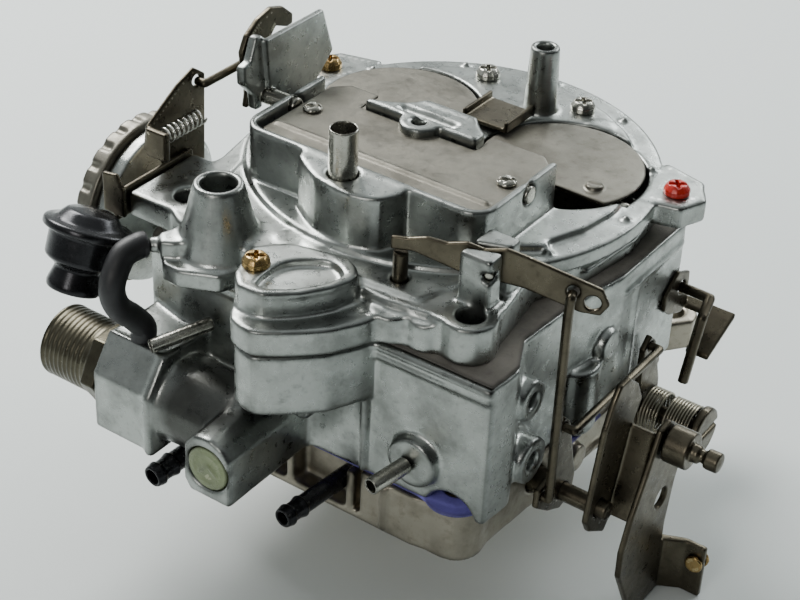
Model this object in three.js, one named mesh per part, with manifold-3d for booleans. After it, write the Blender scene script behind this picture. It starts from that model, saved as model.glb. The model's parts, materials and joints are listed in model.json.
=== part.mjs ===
// Four-barrel spread-bore downdraft carburetor. Millimetres, +Z up.
// Origin: on the mounting face, on the centre line, between the primary and the secondary bores.
// +X is the throttle lever side, +Y the secondary (rear) side, and the fuel inlet is at the front, -Y.
import * as THREE from "three";
import { mergeVertices } from "three/addons/utils/BufferGeometryUtils.js";
import Module from "manifold-3d";

const wasm = await Module();
wasm.setup();

// ---------------------------------------------------------------- driving dimensions
const level = {
  face: 0, base: 20, bowlFoot: 21.5, bowl: 73, hornFoot: 74.4, cover: 88, ring: 89.8, deck: 92, ear: 87,
    rim: 108,
};
const primary = { x: 21.4, y: -15.5, r: 17.46 };
const secondary = { x: 32.5, y: 40, r: 28.58 };
const shaft = { z: 11, r: 4.7, clear: 0.3 };
const mounting = { x: 53.98, front: -46.2, rear: 96.7, r: 4.4, ear: 9.5 };
const ring = { y: 25.4, outer: 69, deck: 61 };
const choke = { y: -2.3, z: 104.2, r: 3, plateZ: 104.1, left: -43.4, right: 42.4, front: -25.6,
  back: 19.6 };
const airValve = { y: 33, z: 88.6, r: 1.9, top: 92, plate: 27.6 };
const pump = { x: 27, y: -44, pivot: [53, -34, 98], slope: 21, rod: [77.2, -29.8], foot: [76.8, -28.4,
  17], rodTop: 94 };
const lever = { arm: 72.4, inner: 86, outer: 97, thick: 2.2 };
const hanger = { x: 5, y: 57 };
const gap = 0.3;

const finish = {
  casting: { color: 0xa9b0ac, roughness: 0.42, metalness: 0.85 },
  base: { color: 0x9a8f7c, roughness: 0.5, metalness: 0.8 },
  steel: { color: 0xb8b4a8, roughness: 0.3, metalness: 0.9 },
  zinc: { color: 0x6f6653, roughness: 0.4, metalness: 0.8 },
  plate: { color: 0x8a8474, roughness: 0.5, metalness: 0.7 },
  brass: { color: 0xb08d4f, roughness: 0.35, metalness: 0.9 },
  gasket: { color: 0x8f8878, roughness: 0.9, metalness: 0 },
  seal: { color: 0x7d76cc, roughness: 0.7, metalness: 0 },
  rubber: { color: 0x17181a, roughness: 0.6, metalness: 0 },
  black: { color: 0x222326, roughness: 0.35, metalness: 0.3 },
  red: { color: 0xc2261d, roughness: 0.4, metalness: 0.2 },
  olive: { color: 0x4e4a3c, roughness: 0.4, metalness: 0.8 },
  float: { color: 0x6b5a45, roughness: 0.8, metalness: 0 },
};

// ---------------------------------------------------------------- shape helpers
const turn = { x: [0, Math.PI / 2, 0], y: [-Math.PI / 2, 0, 0], z: [0, 0, 0] };

function solid(geometry) {
  const bare = geometry.clone();
  bare.deleteAttribute("normal");
  bare.deleteAttribute("uv");
  const merged = mergeVertices(bare, 1e-4);
  return new wasm.Manifold(new wasm.Mesh({
    numProp: 3,
    vertProperties: new Float32Array(merged.attributes.position.array),
    triVerts: new Uint32Array(merged.index.array),
  }));
}

// A cylinder or cone along axis, from a to b. The point at holds the two other coordinates in X, Y, Z order.
function round(axis, a, b, at, r0, r1 = r0, sides = 16) {
  const shape = new THREE.CylinderGeometry(r1, r0, b - a, sides);
  shape.rotateX(Math.PI / 2);
  shape.translate(0, 0, (a + b) / 2);
  if (axis === "x") shape.applyMatrix4(new THREE.Matrix4().set(0, 0, 1, 0, 1, 0, 0, at[0], 0, 1, 0, at[1],
    0, 0, 0, 1));
  if (axis === "y") shape.applyMatrix4(new THREE.Matrix4().set(0, 1, 0, at[0], 0, 0, 1, 0, 1, 0, 0, at[1],
    0, 0, 0, 1));
  if (axis === "z") shape.translate(at[0], at[1], 0);
  return solid(shape);
}

function box(low, high) {
  const shape = new THREE.BoxGeometry(high[0] - low[0], high[1] - low[1], high[2] - low[2]);
  shape.translate((low[0] + high[0]) / 2, (low[1] + high[1]) / 2, (low[2] + high[2]) / 2);
  return solid(shape);
}

// An outline extruded along an axis. Its points are the two other coordinates, in X, Y, Z order.
function prism(axis, a, b, points) {
  const shape = new THREE.ExtrudeGeometry(new THREE.Shape(points.map(([u, v]) => new THREE.Vector2(u,
    v))), {
    depth: b - a, bevelEnabled: false, steps: 1,
  });
  shape.translate(0, 0, a);
  if (axis === "x") shape.applyMatrix4(new THREE.Matrix4().set(0, 0, 1, 0, 1, 0, 0, 0, 0, 1, 0, 0, 0, 0,
    0, 1));
  if (axis === "y") {
    shape.applyMatrix4(new THREE.Matrix4().set(1, 0, 0, 0, 0, 0, 1, 0, 0, 1, 0, 0, 0, 0, 0, 1));
    flip(shape);
  }
  return solid(shape);
}

function flip(geometry) {
  const order = geometry.index ? geometry.index.array : null;
  if (order) {
    for (let i = 0; i < order.length; i += 3) [order[i], order[i + 1]] = [order[i + 1], order[i]];
    return;
  }
  const p = geometry.attributes.position.array;
  for (let i = 0; i < p.length; i += 9) {
    for (let k = 0; k < 3; k += 1) [p[i + k], p[i + 3 + k]] = [p[i + 3 + k], p[i + k]];
  }
}

// A straight round bar between any two points.
function bar(from, to, radius, sides = 6) {
  const start = new THREE.Vector3(...from);
  const along = new THREE.Vector3(...to).sub(start);
  const shape = new THREE.CylinderGeometry(radius, radius, along.length(), sides);
  const up = new THREE.Vector3(0, 1, 0);
  shape.applyQuaternion(new THREE.Quaternion().setFromUnitVectors(up, along.clone().normalize()));
  shape.translate(...start.addScaledVector(along, 0.5).toArray());
  return solid(shape);
}

// A bent rod: straight bars with a ball at each bend.
function wire(points, radius) {
  const bars = points.slice(1).map((point, i) => bar(points[i], point, radius));
  const balls = points.slice(1, -1).map((point) => {
    const ball = new THREE.SphereGeometry(radius, 6, 4);
    ball.translate(...point);
    return solid(ball);
  });
  return join(...bars, ...balls);
}

// A smooth tube or hose through its points, with square ends.
function hose(points, radius, steps) {
  const path = new THREE.CatmullRomCurve3(points.map((p) => new THREE.Vector3(...p)), false, "centripetal");
  const section = new THREE.Shape(arc(0, 0, radius, 0, 315, 7).map(([u, v]) => new THREE.Vector2(u, v)));
  return solid(new THREE.ExtrudeGeometry(section, { steps, extrudePath: path, bevelEnabled: false }));
}

// A body of revolution: profile holds [radius, distance] pairs and starts and ends on the axis.
function turned(axis, at, profile, sides = 20) {
  const shape = new THREE.LatheGeometry(profile.map(([r, d]) => new THREE.Vector2(r, d)), sides);
  shape.rotateX(Math.PI / 2);
  if (axis === "x") shape.applyMatrix4(new THREE.Matrix4().set(0, 0, 1, 0, 1, 0, 0, at[0], 0, 1, 0, at[1],
    0, 0, 0, 1));
  if (axis === "y") shape.applyMatrix4(new THREE.Matrix4().set(0, 1, 0, at[0], 0, 0, 1, 0, 1, 0, 0, at[1],
    0, 0, 0, 1));
  if (axis === "z") shape.translate(at[0], at[1], 0);
  const made = solid(shape);
  if (made.volume() > 0) return made;
  flip(shape);
  return solid(shape);
}

const join = (...pieces) => pieces.reduce((whole, piece) => whole.add(piece));
const cut = (whole, ...holes) => holes.reduce((left, hole) => left.subtract(hole), whole);
const both = (make) => [-1, 1].map(make);
const arc = (x, y, r, from, to, count) => Array.from({ length: count + 1 }, (_, i) => {
  const angle = ((from + ((to - from) * i) / count) * Math.PI) / 180;
  return [x + r * Math.cos(angle), y + r * Math.sin(angle)];
});

const group = new THREE.Group();
function add(name, shape, look) {
  const raw = shape.getMesh();
  const geometry = new THREE.BufferGeometry();
  geometry.setAttribute("position", new THREE.BufferAttribute(new Float32Array(raw.vertProperties), 3));
  geometry.setIndex(new THREE.BufferAttribute(new Uint32Array(raw.triVerts), 1));
  geometry.computeVertexNormals();
  const piece = new THREE.Mesh(geometry, new THREE.MeshStandardMaterial(finish[look]));
  piece.name = name;
  group.add(piece);
}

// ---------------------------------------------------------------- throttle body and its gasket
const boltHoles = (z0, z1) => both((side) => join(
  round("z", z0, z1, [side * mounting.x, mounting.front], mounting.r, mounting.r, 12),
  round("z", z0, z1, [side * mounting.x, mounting.rear], mounting.r, mounting.r, 12),
)).reduce((a, b) => a.add(b));
const bores = (z0, z1, spare = 0) => join(...both((side) => join(
  round("z", z0, z1, [side * primary.x, primary.y], primary.r + spare, primary.r + spare, 24),
  round("z", z0, z1, [side * secondary.x, secondary.y], secondary.r + spare, secondary.r + spare, 28),
)));

const rodHoles = (z0, z1) => join(...both((side) => round("z", z0, z1, [side * hanger.x, hanger.y], 1.8,
  1.8, 8)));

const baseOutline = [
  [-44, -57], [44, -57], ...arc(mounting.x, mounting.front, mounting.ear, -60, 20, 3), [65, -10], [67, 30],
  [67, 62], [52, 80], ...arc(mounting.x, mounting.rear, mounting.ear, -10, 110, 4), [36, 92], [20, 84],
  [-20, 84], [-36, 92], ...arc(-mounting.x, mounting.rear, mounting.ear, 70, 190, 4), [-52, 80], [-67, 62],
  [-67, 30], [-65, -10], ...arc(-mounting.x, mounting.front, mounting.ear, 160, 240, 3),
];
const shaftTunnel = (y) => round("x", -90, 90, [y, shaft.z], shaft.r + shaft.clear, shaft.r + shaft.clear,
  12);
const frontPocket = prism("z", 3, 30, [[-30, -60], [-30, -50], [24, -50], [24, -60]]);
const baseRibs = join(...[-28, -4, 20].map((x) => box([x - 1.6, -57, 2], [x + 1.6, -49, 18])));
const baseTop = prism("z", 12.3, 30, [[-80, 84.5], [80, 84.5], [80, 120], [-80, 120]]);
const throttleBody = cut(
  prism("z", level.face, level.base, baseOutline).subtract(frontPocket).add(baseRibs),
  bores(-5, 30), boltHoles(-5, 60), shaftTunnel(primary.y), shaftTunnel(secondary.y), baseTop,
);
add("throttle_body", throttleBody, "base");

const gasketOutline = [
  [-44, -56], [46, -56], ...arc(mounting.x, mounting.front, 8.5, -60, 20, 2), [60, -20], [62, 4],
  [66, 10], [65, 62], [50, 78], [-50, 78], [-65, 62], [-64, -10], ...arc(-mounting.x, mounting.front, 8.5,
    160, 240, 2),
];
add("body_gasket", cut(prism("z", level.base, level.bowlFoot, gasketOutline), bores(-5, 30, 1),
  boltHoles(-5, 60)), "seal");

// ---------------------------------------------------------------- float bowl
const bowlOutline = [
  [-46, -60], [-8, -60], [8, -57.5], [46, -57], [70, -57], [71, -44], [64, -30], [66, 0],
  [70, 20], [70, 62], [46, 78], [-46, 78], [-68, 62], [-68, -40], [-62, -56],
];
const chamber = { x0: -36, x1: 14, y0: -56, y1: -35.5, floor: 26 };
const pumpWell = { r: 9.2, floor: 24 };
const inlet = { y: -73, z: 32, r: 8.6 };
const bowlNose = [[-9, -56], [-8, -76], [-3, -85], [5, -87], [12, -82], [22, -72], [28, -56]];
const inletBox = join(
  prism("x", -60, -36, [[-88, 17], [-58, 17], [-58, 50], [-80, 50], [-88, 38.5]]),
  prism("x", -38, -35, [[-89, 16.2], [-58, 16.2], [-58, 50.8], [-80.4, 50.8], [-89, 39]]),
  round("x", -36, -6, [inlet.y, inlet.z], 14.5, 13, 20),
);
const rightBosses = join(
  round("x", 60, 72, [-36, 58], 6.5, 6.5, 12), round("x", 60, 72, [-33, 33], 7.5, 7.5, 12),
  round("z", level.bowlFoot, 46, [62, 5], 9.5, 9.5, 16),
);
const plugBosses = join(
  prism("y", -97, -57, [[-14.5, 25], [-12, 20.8], [4, 20.8], [4, 38], [1, 42], [-4, 43.8], [-10, 43],
    [-14, 38]]),
  round("y", -67, -56, [7, 44], 4.6, 4.6, 12), round("y", -60.5, -54, [45, 36], 8.5, 8.5, 16),
);
const floatBowl = cut(
  join(
    prism("z", level.bowlFoot, level.bowl, bowlOutline), prism("z", 52, level.bowl, bowlNose), inletBox,
      rightBosses,
    plugBosses,
  ),
  bores(-5, 90), boltHoles(-5, 90),
  box([chamber.x0, chamber.y0, chamber.floor], [chamber.x1, chamber.y1, 90]),
  round("z", pumpWell.floor, 90, [pump.x - 1, pump.y - 2], pumpWell.r, pumpWell.r, 16),
  round("x", -65, -20, [inlet.y, inlet.z], inlet.r, inlet.r, 16), round("y", -66, -50, [-30, inlet.z], 3,
    3, 10),
  round("z", 58, 90, [0, 4], 3.8, 3.8, 12), box([-8, 2, 69], [8, 6, 80]), rodHoles(30, 90),
  round("x", 66, 80, [-36, 58], 2.6, 2.6, 8), round("x", 67, 80, [-33, 33], 3, 3, 8),
  round("y", -99, -94, [-5, 32], 7.8, 7.8, 16),
);
add("float_bowl", floatBowl, "casting");

// ---------------------------------------------------------------- air horn and its gasket
const hornRight = [
  ...arc(mounting.x, mounting.front, 8.3, -80, 30, 3), [56, -12], [62, 0], [66, 30], [62, 60], [45, 77],
];
const hornLeft = [
  [-45, 77], [-66, 60], [-66, 0], [-62, -20], [-64, -36], ...arc(-mounting.x, mounting.front, 8.3, 150,
    260, 3),
];
const hornOutline = [[-46, -60], [-8, -60], [14, -54], [30, -55], [44, -53], ...hornRight, ...hornLeft];
const noseFoot = [[-11, -60], [-9, -77], [-3.5, -86], [5, -88], [13, -83], [24, -72], [29, -57], [10, -52]];
const noseTop = [[-14, -63], [-9, -77], [-4, -81.5], [4, -81], [12, -74], [18, -65], [20, -56], [12, -50],
  [-6, -54]];
const ventBoss = [[-20, -26], [-20, -33], [-8, -40], [6, -42], [15, -38], [17, -26]];
const housingOuter = [
  ...arc(37, -20.5, 8, -90, 0, 3), ...arc(37, 14.5, 8, 0, 90, 3), ...arc(-39, 14.5, 8, 90, 180, 3),
  ...arc(-39, -20.5, 8, 180, 270, 3),
];
const housingInner = [
  ...arc(37.5, -20.5, 5.5, -90, 0, 3), ...arc(37.5, 14.8, 5.5, 0, 90, 3), ...arc(-39.5, 14.8, 5.5, 90,
    180, 3),
  ...arc(-39.5, -20.5, 5.5, 180, 270, 3),
];
const gusset = join(
  prism("z", level.hornFoot, 81, [[-46, -67], [-41, -74], [-34, -74.5], [-22, -69], [-18, -58], [-44,
    -57]]),
  prism("z", 80, 87, [[-47, -68], [-43, -72.5], [-39, -70.5], [-28, -58], [-29, -50], [-42, -56]]),
);
const deckOutline = [
  [-46, -14], [46, -14], [56, -6], ...arc(0, ring.y, ring.deck, -28, 208, 18), [-56, -6],
];
const leverFrame = new THREE.Matrix4().makeRotationZ((pump.slope * Math.PI) / 180);
function alongLever(x, y, z) {
  const point = new THREE.Vector3(x, y, z).applyMatrix4(leverFrame);
  return [point.x + pump.pivot[0], point.y + pump.pivot[1], point.z];
}
function onLever(shape) {
  const e = leverFrame.clone().setPosition(pump.pivot[0], pump.pivot[1], 0).elements;
  return shape.transform(Array.from(e));
}
const tower = cut(
  box([46, -42, 87], [57, -25, 104]),
  onLever(box([-20, -1.9, 86], [20, 1.9, 110])),
  bar(alongLever(0, -15, pump.pivot[2]), alongLever(0, 15, pump.pivot[2]), 1.8, 8),
);
const horn = cut(
  join(
    prism("z", level.hornFoot, level.ear, hornOutline),
    prism("z", level.ear - 1, level.cover, [[-44, -58], [-8, -59], [14, -52], [38, -50], [44, -30], [56,
      -10], [0, 20], [-56, -10]]),
    prism("z", level.hornFoot, 83, noseFoot), prism("z", 82, 92, noseTop), gusset,
    box([-70.5, -56, 78], [-52, -24, 87]),
    round("z", 84, level.ring, [0, ring.y], ring.outer, ring.outer, 40),
    prism("z", level.ring - 1, level.deck, deckOutline),
    prism("z", level.ear, level.rim, housingOuter), prism("z", level.hornFoot, level.rim, ventBoss),
    round("z", 80, 104, [-32.7, -56.2], 13, 7.3, 16), round("z", 90, 116, [7.5, 67], 5.6, 4.6, 12),
    ...both((side) => prism("z", 82, 90, [[60, 38], [76, 42], [80, 52], [74, 62], [58, 66]].map(([x,
      y]) => [side * x, y]))),
    tower,
    bar([-40, -65, 83], [-48.2, -71.8, 83.5], 2.6, 10),
  ),
  prism("z", 60, 130, housingInner),
  round("z", 60, 130, [-secondary.x, secondary.y], secondary.r, secondary.r, 28),
  round("z", 60, 130, [secondary.x, secondary.y], secondary.r, secondary.r, 28),
  boltHoles(60, 100), round("z", 88, 110, [-32.7, -56.2], 5.6, 5.6, 12), round("z", 96, 120, [7.5, 67], 3,
    3, 10),
  round("z", 70, 92, [pump.x, pump.y], 2.8, 2.8, 10), round("z", 78, 120, [-3, -33], 4.9, 4.9, 16),
  round("x", -70, 70, [choke.y, choke.z], choke.r + gap, choke.r + gap, 12),
  round("x", -64, 64, [airValve.y, airValve.z], airValve.r + gap, airValve.r + gap, 10),
  prism("z", 89.6, 100, [[-1, -63], [9, -54], [17, -57], [16, -64], [10, -73], [3, -78.5], [-2, -78]]),
  round("x", 70, 90, [58, 86], 2.6, 2.6, 8),
);
const hornBar = cut(box([-26, 10, 101.5], [17, 21, level.rim]), box([-13, 12.4, 103.5], [6, 15.5, 120]));
add("air_horn", horn.add(hornBar).subtract(rodHoles(60, 100)), "casting");
const gasketShape = cut(
  prism("z", level.bowl, level.hornFoot, [[-46, -59.5], [-9, -59.5], ...bowlNose.slice(1, -1), [28, -57],
    ...hornOutline.slice(4)]),
  prism("z", 60, 90, housingInner), bores(60, 90), boltHoles(60, 90),
  round("z", 60, 90, [pump.x, pump.y], 3.4, 3.4, 10), rodHoles(60, 90),
  box([chamber.x0, chamber.y0, 60], [chamber.x1, -36, 90]),
);
add("airhorn_gasket", gasketShape, "gasket");
add("bowl_vent_tube", cut(round("z", 79, 124, [-3, -33], 4.6, 4.6, 16), round("z", 82, 130, [-3, -33],
  3.9, 3.9, 16)), "steel");

// ---------------------------------------------------------------- fuel inlet, float and metering
const inletNut = join(
  prism("x", -66, -60.3, arc(inlet.y, inlet.z, 15, 0, 300, 5)), round("x", -86, -65.9, [inlet.y, inlet.z],
    12.6, 12.6, 20),
  round("x", -60.4, -52, [inlet.y, inlet.z], inlet.r - gap, inlet.r - gap, 16),
);
add("inlet_nut", cut(inletNut, round("x", -90, -48, [inlet.y, inlet.z], 6.2, 6.2, 12)), "olive");
add("fuel_filter", cut(round("x", -51.5, -24, [inlet.y, inlet.z], 7.4, 7.4, 12),
  round("x", -53, -28, [inlet.y, inlet.z], 4, 4, 8)), "gasket");
const floatHinge = { y: -43.2, z: 64 };
const floatShape = join(
  box([chamber.x0 + 3, chamber.y0 + 2, 46], [chamber.x1 - 3, floatHinge.y - 2.6, 66]),
  box([-14, floatHinge.y - 3, 60], [-8, floatHinge.y + 6.2, 66]),
);
add("fuel_float", cut(floatShape, round("x", -20, 0, [floatHinge.y, floatHinge.z], 1.6, 1.6, 8)), "float");
add("float_pin", round("x", -35.6, 13.6, [floatHinge.y, floatHinge.z], 1.2, 1.2, 8), "steel");
const needleAt = [-11, floatHinge.y + 4.6];
add("inlet_needle", join(
  round("z", 30, 59.4, needleAt, 2, 2, 8), round("z", 26.4, 30.1, needleAt, 0.6, 2, 8),
), "steel");
add("power_piston", join(round("z", 60, 71, [0, 4], 3.4, 3.4, 12), box([-7, 2.5, 70], [7, 5.5, 71.5])),
  "brass");

// ---------------------------------------------------------------- choke plate, shaft and linkage
const chokeShaft = cut(
  round("x", -65, 46, [choke.y, choke.z], choke.r, choke.r, 16),
  box([choke.left - 0.4, choke.y - 5, choke.plateZ - gap], [choke.right + 0.4, choke.y + 5, choke.z + 5]),
);
add("choke_shaft", chokeShaft, "steel");
const chokeOutline = [
  [choke.left + 4, choke.front], [choke.right - 5, choke.front], [choke.right, choke.front + 5],
  [choke.right, choke.back - 5], [choke.right - 5, choke.back], [18, choke.back], [18, 9], [-27, 9],
  [-27, choke.back], [choke.left + 5, choke.back], [choke.left, choke.back - 5], [choke.left,
    choke.front + 4],
];
add("choke_plate", prism("z", choke.plateZ, choke.plateZ + 1.2, chokeOutline), "plate");
const panHead = (at, z, r, tall) => turned("z", at, [[0, z], [r, z], [r, z + tall * 0.5], [r * 0.7,
  z + tall], [0, z + tall]], 12);
const slotted = (at, z, r, tall) => cut(panHead(at, z, r, tall),
  box([at[0] - 0.5, at[1] - r - 1, z + tall * 0.5], [at[0] + 0.5, at[1] + r + 1, z + tall + 1]));
add("choke_screw_left", slotted([-38, choke.y], choke.plateZ + 1.2, 3.3, 1.7), "steel");
add("choke_screw_right", slotted([37, choke.y], choke.plateZ + 1.2, 3.3, 1.7), "steel");
const rodSlot = [[-2.6, 110.6], [-1.4, 109.8], [0.9, 109.8], [2.5, 112.5], [2.6, 115.6], [1.4, 116.3],
  [-1.1, 116.2], [-2.6, 114]];
const chokeLever = cut(
  prism("x", -63.4, -61.2, [
    [-8, 100], [2, 99.4], [4, 107], [4.8, 113], [4.8, 117.5], [5.6, 121.4], [8, 124], [14, 121.6], [17,
      121.8], [17, 125.4],
    [12, 129.6], [6, 131.4], [-1, 129.6], [-7, 125.6], [-9.6, 120.5], [-8.6, 114], [-6, 109],
  ]),
  round("x", -70, -60, [choke.y, choke.z], choke.r + 0.05, choke.r + 0.05, 16), prism("x", -70, -60,
    rodSlot),
);
add("choke_lever", chokeLever, "zinc");
const rodPivot = [-19, 111];
const housingAxis = [-25, 62];
add("choke_rod", wire([[-60.4, -0.5, 113], [-66.6, -0.5, 113], [-69.3, ...rodPivot], [-73.2,
  ...rodPivot]], 1.6), "zinc");
const chokeArm = cut(
  join(
    prism("x", -74.2, -72.9, [[-31, 56], [-20, 56], [-15.5, 80], [-14.6, 112], [-20, 116], [-28, 113],
      [-43, 104], [-44.6, 96], [-37, 89], [-33, 78]]),
    box([-73, -44.4, 94], [-64.6, -42, 104]),
  ),
  round("x", -80, -60, rodPivot, 2, 2, 8), round("x", -80, -60, housingAxis, 2.6, 2.6, 10),
);
add("choke_arm", chokeArm, "zinc");
add("choke_arm_spring", turned("y", [-67.8, 101.5], [[0, -41.6], [3, -41.6], [3, -23], [0, -23]], 12),
  "steel");
add("choke_housing", cut(turned("x", housingAxis,
  [[0, -74.4], [11, -74.4], [14, -77], [27.5, -85], [27.5, -90], [0, -90]].reverse(), 22),
round("x", -95, -80.5, housingAxis, 23, 16.5, 16), round("x", -100, -70, housingAxis, 2.7, 2.7, 10)),
  "casting");
add("choke_cover", turned("x", housingAxis, [[0, -101], [22, -101], [25, -98], [30, -97], [30, -90.3], [0,
  -90.3]], 28), "zinc");
add("choke_coil", cut(round("x", -89, -81, housingAxis, 15, 15, 16), round("x", -95, -70, housingAxis, 11,
  11, 16)), "brass");
const standFace = [[-6, 126], [25, 126], [31, 109], [12, 92.3], [2, 92.3], [-4, 108]];
add("link_stand", cut(join(
  prism("x", -56.6, -54.4, standFace), prism("x", -60, -56.5, [
    [-8, 127], [-5, 127], [1, 109], [-3, 106], [-5, 101], [-8.6, 101], [-9.4, 107], [-14.6, 112.5],
      [-14.6, 118.6], [-11, 119.4],
  ]),
), round("x", -70, -50, [choke.y, choke.z], choke.r + gap, choke.r + gap, 12)), "casting");

// ---------------------------------------------------------------- vacuum can and its hose
const can = { at: [-70.2, -75, 82.4], tilt: -25 };
const canProfile = [
  [0, -17], [6.4, -17], [6.8, -20.6], [8.6, -20.6], [9, -18.6], [7.4, -13], [11.6, -10.4], [12, -1.6],
  [14.6, -1.2], [14.6, 1.4], [11, 2], [8, 5.5], [0, 6.5],
];
add("vacuum_can", turned("z", [0, 0], canProfile, 18).rotate([can.tilt, 0, 0]).translate(can.at), "black");
add("side_bracket", join(
  prism("x", -72.6, -70.8, [[-61, 78], [-24, 78], [-24, 88.4], [-61, 88.4]]), box([-72.6, -38, 74],
    [-70.8, -26, 79]),
  prism("y", -61, -59.4, [[-77, 80], [-68, 80], [-68, 90], [-71, 95], [-77, 94]]),
), "zinc");
const hosePath = [
  [-49, -72.4, 83.6], [-50, -74.2, 83.6], [-51.4, -79.8, 82.2], [-51, -85, 76.6], [-51, -85.8, 71],
  [-50.6, -83.6, 65], [-49.6, -79, 59.8], [-48.6, -75.4, 54.6], [-48.6, -75.4, 50.3],
];
add("vacuum_hose", hose(hosePath, 4.2, 14), "rubber");

// ---------------------------------------------------------------- accelerator pump
const pumpLeverSide = [
  [-31, 98], [-24, 98.4], [-10, 94], [10, 92], [27, 87], [33, 87], [35.5, 91], [33, 96], [10, 103], [4,
    104.5],
  [-3, 103.2], [-8, 104.5], [-14, 103.2], [-20, 104], [-26, 102.6], [-31, 102.4],
];
const pumpLever = cut(
  prism("y", -0.9, 0.9, pumpLeverSide), round("y", -5, 5, [0, pump.pivot[2]], 1.9, 1.9, 8),
  round("y", -5, 5, [30.4, 91], 2.6, 2.6, 10), round("y", -5, 5, [24.4, 94], 2, 2, 8),
);
add("pump_lever", onLever(pumpLever), "zinc");
add("pump_lever_pin", bar(alongLever(0, -6.5, pump.pivot[2]), alongLever(0, 6.5, pump.pivot[2]), 1.5, 8),
  "steel");
const pumpStem = join(
  round("z", 46, 97.4, [pump.x, pump.y], 2.3, 2.3, 10), round("z", 40, 46.1, [pump.x - 1, pump.y - 2],
    8.6, 8.6, 16),
);
add("pump_plunger", pumpStem, "brass");
const wellAxis = [pump.x - 1, pump.y - 2];
add("pump_spring", cut(round("z", 24.3, 39.7, wellAxis, 7.4, 7.4, 12), round("z", 20, 45, wellAxis, 6, 6,
  12)), "steel");
const rodAt = (z) => [pump.rod[0], pump.rod[1], z];
add("pump_rod", wire([alongLever(24.4, -1.3, pump.rodTop), alongLever(24.4, -4.6, pump.rodTop), rodAt(88),
  pump.foot, [71.6, pump.foot[1], pump.foot[2]]], 1.7), "zinc");

// ---------------------------------------------------------------- throttle shafts, plates and levers
function throttleShaft(y, x0, x1, bore) {
  const slots = both((side) => box([side * bore.x - bore.r - 1, y - 8, shaft.z - 0.8],
    [side * bore.x + bore.r + 1, y + 8, shaft.z + 0.8]));
  return cut(join(round("x", x0, x1, [y, shaft.z], shaft.r, shaft.r, 14)), ...slots);
}
const disc = (side, bore, slack, z0, z1, sides) => round("z", z0, z1, [side * bore.x, bore.y],
  bore.r - slack, bore.r - slack, sides);
add("primary_shaft", join(throttleShaft(primary.y, -72, 72, primary), round("x", 71.9, 92, [primary.y,
  shaft.z], 3.2, 3.2, 12)), "steel");
add("secondary_shaft", join(throttleShaft(secondary.y, -70, 71, secondary), round("x", 70.9, 96,
  [secondary.y, shaft.z], 3.2, 3.2, 12),
  cut(round("x", 94.3, 97.4, [secondary.y, shaft.z], 9, 9, 14), box([96.4, 25, 9.8], [98, 60, 12.2]))),
    "steel");
for (const [label, side] of [["left", -1], ["right", 1]]) {
  add(`primary_plate_${label}`, disc(side, primary, 0.4, shaft.z - 0.5, shaft.z + 0.5, 22), "brass");
  add(`secondary_plate_${label}`, disc(side, secondary, 0.4, shaft.z - 0.5, shaft.z + 0.5, 26), "brass");
}
const eye = (x0, x1, y) => round("x", x0, x1, [y, shaft.z], 3.25, 3.25, 12);
const linkTop = { x: 78, y: -3.5, z: 28 };
const pumpArm = [[-24, 8], [-16, 4], [-9, 6], [-8, 14], [-15, 39], [-19, 43], [-23, 39], [-22, 22], [-31,
  20.5], [-31.6, 14]];
add("pump_arm", cut(prism("x", lever.arm, lever.arm + lever.thick, pumpArm), eye(70, 90, primary.y),
  round("x", 70, 90, [pump.foot[1], pump.foot[2]], 2, 2, 8),
  round("x", 70, 90, [primary.y + linkTop.y, shaft.z + linkTop.z], 1.9, 1.9, 8)), "zinc");
const innerSide = [
  [-13, 51], [-10, 55.4], [-4.4, 55.4], [2, 50], [6, 42], [2, 36], [1, 20], [-2, 8], [-6, 2], [-10, -3],
    [-20.4, 4],
  [-23, 9], [-20, 26], [-17, 42],
];
const outerSide = [
  [0, 37], [6, 38], [12, 33], [19, 18], [15.5, 7], [13, -8], [13, -17], [16, -18], [17, -38], [4, -38],
    [-8, -30], [-17, -12],
  [-17, -2], [-13, 10], [-7, 22],
];
const throttleLever = cut(
  join(
    prism("x", lever.inner, lever.inner + lever.thick, innerSide), prism("x", lever.outer,
      lever.outer + lever.thick, outerSide),
    prism("x", lever.inner, lever.outer + 1, [[-9, 4], [-6.6, 3], [2.4, 34], [0, 35]]),
    prism("z", -38, -17, [[lever.outer, 13], [lever.outer + lever.thick, 14], [106, 17.6], [113, 17.6],
      [113, 20], [105, 20], [lever.outer, 16.5]]),
  ),
  eye(80, 92, primary.y), round("x", 90, 110, [6.5, 6], 3.9, 3.9, 12), round("x", 90, 110, [5.5, 30], 2.9,
    2.9, 14),
);
add("throttle_lever", throttleLever, "zinc");
add("throttle_stud", turned("x", [5.5, 30], [
  [0, 95], [2.5, 95], [2.5, 99.7], [6.4, 99.7], [6.4, 108], [3, 108], [3, 110.5], [2.2, 111], [2.2,
    112.5], [3.4, 113], [3.4, 117.5], [0, 118],
], 14), "zinc");
const secondarySide = [[34, 6], [44, 4], [48, 10], [47, 20], [40.6, 39], [36.5, 43], [32.4, 39], [32, 18]];
add("secondary_lever", cut(prism("x", lever.arm, lever.arm + lever.thick, secondarySide), eye(70, 90,
  secondary.y),
  round("x", 70, 90, [secondary.y + linkTop.y, shaft.z + linkTop.z], 1.9, 1.9, 8)), "zinc");
const linkEnd = (y) => [y + linkTop.y, shaft.z + linkTop.z];
add("secondary_link", wire([[72.5, ...linkEnd(primary.y)], [linkTop.x, ...linkEnd(primary.y)],
  [linkTop.x, ...linkEnd(secondary.y)], [72.5, ...linkEnd(secondary.y)]], 1.6), "zinc");
const coilDrum = (x0, x1, r) => cut(round("x", x0, x1, [secondary.y, shaft.z], r, r, 16), round("x",
  x0 - 1, x1 + 1, [secondary.y, shaft.z], 3.6, 3.6, 12));
add("secondary_spring_inner", coilDrum(75, 82.6, 8.6), "zinc");
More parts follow.
